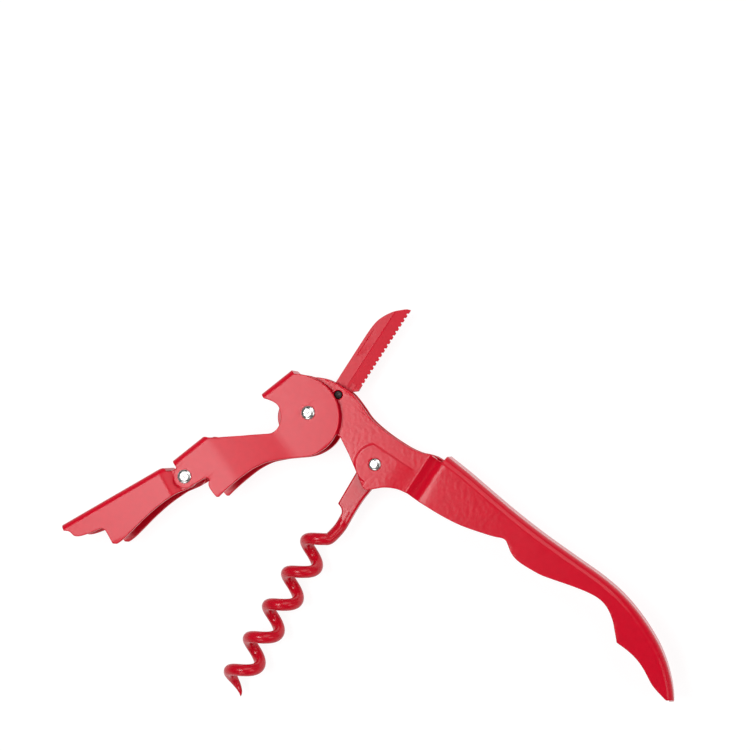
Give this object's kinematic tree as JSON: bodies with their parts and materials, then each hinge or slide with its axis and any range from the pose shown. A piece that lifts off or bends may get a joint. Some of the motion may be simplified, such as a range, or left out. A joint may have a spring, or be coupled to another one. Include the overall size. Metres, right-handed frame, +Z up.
{
  "type": "waiters corkscrew",
  "caption": "Double-hinged waiter's corkscrew with folded sheet handle, two-step lever with bottle opener, serrated foil knife and coiled worm, lying open on its side.",
  "frame": {"origin": "on the surface that the tool lies on, under the centre of the open tool's box", "axes": "+Z up along every pin, +X from the lever's tip to the handle's tail, +Y towards the knife's side"},
  "size_m": [0.1514, 0.0962, 0.0145],
  "materials": {
    "red_enamel": "gloss red enamel with a slight orange peel",
    "red_enamel_lever": "gloss red enamel",
    "red_enamel_blade": "satin red coating, thin along the edge",
    "red_enamel_worm": "gloss red low-friction coating",
    "nickel": "polished nickel rivet",
    "dark_steel": "dark turned steel"
  },
  "bodies": {
    "handle": {"handle_body": "red_enamel", "lever_rivet": "nickel", "lever_bush": "dark_steel", "lever_washer_near": "dark_steel", "lever_washer_far": "dark_steel", "worm_rivet": "nickel", "knife_pin": "dark_steel", "knife_washer_near": "dark_steel", "knife_washer_far": "dark_steel"},
    "lever": {"lever_arm": "red_enamel_lever", "hinge_rivet": "nickel"},
    "tip": {"lever_tip": "red_enamel_lever"},
    "worm": {"worm": "red_enamel_worm"},
    "knife": {"knife_blade": "red_enamel_blade"}
  },
  "joints": [
    {"name": "lever_swing", "type": "hinge", "parent": "handle", "child": "lever", "pos_m": [-0.01329, 0.02254, 0.00725], "axis": [0, 0, -1], "range_deg": [-108.7, 30]},
    {"name": "tip_swing", "type": "hinge", "parent": "lever", "child": "tip", "pos_m": [-0.04404, 0.00682, 0.00725], "axis": [0, 0, -1], "range_deg": [-8.5, 20.7]},
    {"name": "worm_swing", "type": "hinge", "parent": "handle", "child": "worm", "pos_m": [0.00301, 0.00984, 0.00725], "axis": [0, 0, -1], "range_deg": [-87.4, 25]},
    {"name": "knife_swing", "type": "hinge", "parent": "handle", "child": "knife", "pos_m": [-0.0062, 0.02698, 0.00725], "axis": [0, 0, 1], "range_deg": [-88.5, 30]}
  ],
  "couplings": [
    {"joint": "worm_swing", "follows": "lever_swing", "ratio": 0.804}
  ]
}
